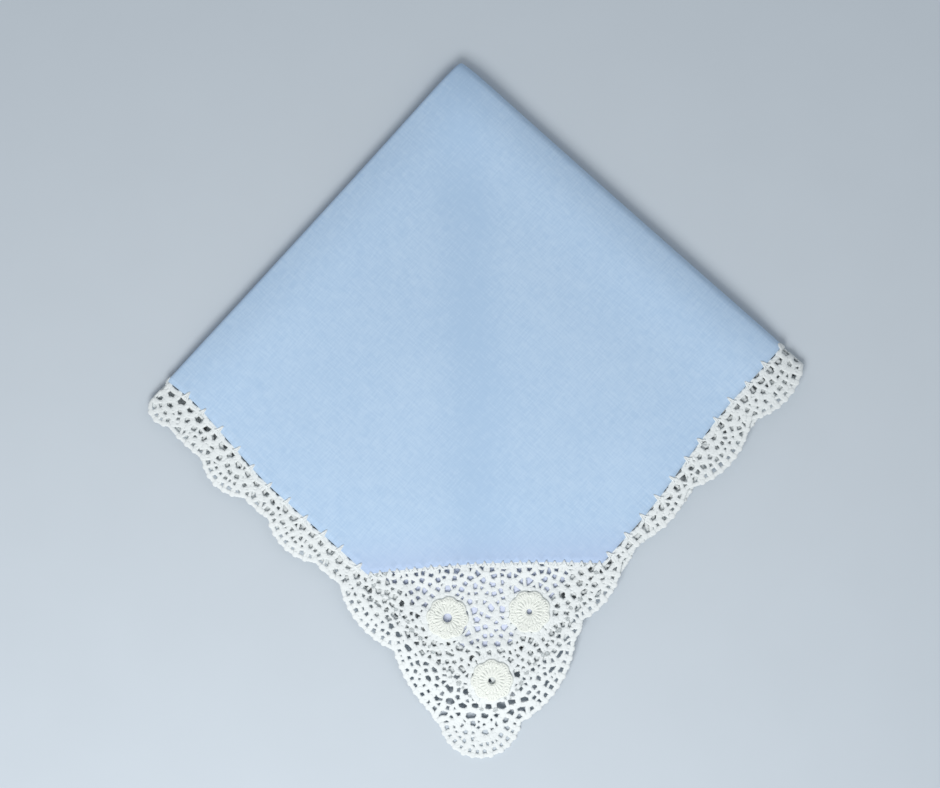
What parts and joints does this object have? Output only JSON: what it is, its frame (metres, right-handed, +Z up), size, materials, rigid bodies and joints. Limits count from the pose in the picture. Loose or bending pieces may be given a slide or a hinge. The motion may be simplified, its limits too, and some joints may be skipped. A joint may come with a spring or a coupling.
{
  "type": "lace handkerchief",
  "caption": "Square pale-blue cotton handkerchief with a scalloped white crochet edging and a crochet corner with raised rosettes, folded in quarters and lying flat",
  "frame": {"origin": "on the surface, under the middle of the folded handkerchief's box", "axes": "+Z up. The lace corner points to -Y and the folded middle of the cloth to +Y, so that the square lies as a diamond. +X is toward the edge of the second fold."},
  "size_m": [0.209, 0.2213, 0.0077],
  "materials": {
    "cloth_blue": "fine plain weave with pale-blue warp and white slubs, matt",
    "thread_white": "twisted cotton crochet thread, matt white",
    "thread_cream": "twisted cotton crochet thread, warm white, matt"
  },
  "bodies": {
    "root": {"cloth": "cloth_blue", "lace_edging": "thread_white", "lace_corner": "thread_white", "rosette_1": "thread_cream", "rosette_2": "thread_cream", "rosette_3": "thread_cream"}
  },
  "joints": []
}
